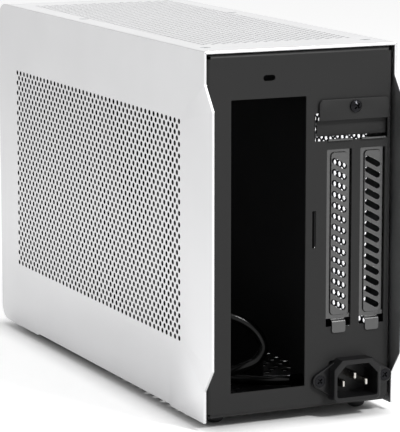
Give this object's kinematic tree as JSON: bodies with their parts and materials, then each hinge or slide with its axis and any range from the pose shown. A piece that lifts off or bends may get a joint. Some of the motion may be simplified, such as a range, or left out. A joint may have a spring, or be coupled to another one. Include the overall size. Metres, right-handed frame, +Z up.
{
  "type": "small form factor computer case",
  "caption": "Slim upright computer case with perforated aluminium shell, open board window, covered card slots, side panels and a mains inlet.",
  "frame": {"origin": "middle of the footprint, on the surface that the feet stand on", "axes": "+Z up; +Y from the front to the rear face with the slots and the opening; +X towards the board bay, on the right when seen from the front"},
  "size_m": [0.115, 0.317, 0.2045],
  "materials": {
    "shell_aluminium": "bead blasted, clear anodised",
    "chassis_paint": "fine satin powder coat",
    "bright_steel": "plated",
    "zinc_sheet": "dull zinc",
    "clip_plastic": "matte",
    "moulded_black": "satin moulded",
    "contact_pins": "nickel plated",
    "black_screw": "black oxide",
    "lead_jacket": "smooth",
    "circuit_board": "solder resist",
    "foot_rubber": "matte"
  },
  "bodies": {
    "chassis": {"front_top_cover": "shell_aluminium", "cover_screws": "bright_steel", "clinch_nuts": "bright_steel", "rear_panel": "chassis_paint", "floor_pan": "chassis_paint", "front_frame": "chassis_paint", "board_side_rail": "chassis_paint", "card_side_rail": "chassis_paint", "panel_clips": "clip_plastic", "motherboard_tray": "chassis_paint", "board_standoffs": "black_screw", "psu_bracket": "chassis_paint", "slot_cover_inner": "zinc_sheet", "slot_cover_outer": "zinc_sheet", "slot_retainer": "chassis_paint", "retainer_screw": "black_screw", "mains_inlet": "moulded_black", "inlet_pins": "contact_pins", "inlet_screws": "black_screw", "mains_lead": "lead_jacket", "mains_plug": "moulded_black", "button_guide": "moulded_black", "power_switch": "moulded_black", "front_board": "circuit_board", "usb_socket": "bright_steel", "feet": "foot_rubber", "chassis_rivets": "bright_steel"},
    "board_panel": {"board_side_panel": "shell_aluminium", "board_panel_studs": "bright_steel"},
    "card_panel": {"card_side_panel": "shell_aluminium", "card_panel_studs": "bright_steel"},
    "button": {"power_button": "shell_aluminium"}
  },
  "joints": [
    {"name": "board_panel_pull", "type": "slide", "parent": "chassis", "child": "board_panel", "axis": [1, 0, 0], "range_m": [0, 0.06]},
    {"name": "card_panel_pull", "type": "slide", "parent": "chassis", "child": "card_panel", "axis": [-1, 0, 0], "range_m": [0, 0.06]},
    {"name": "power_button_press", "type": "slide", "parent": "chassis", "child": "button", "axis": [0, 1, 0], "range_m": [0, 0.0012], "stiffness_N_per_m": 1500}
  ]
}
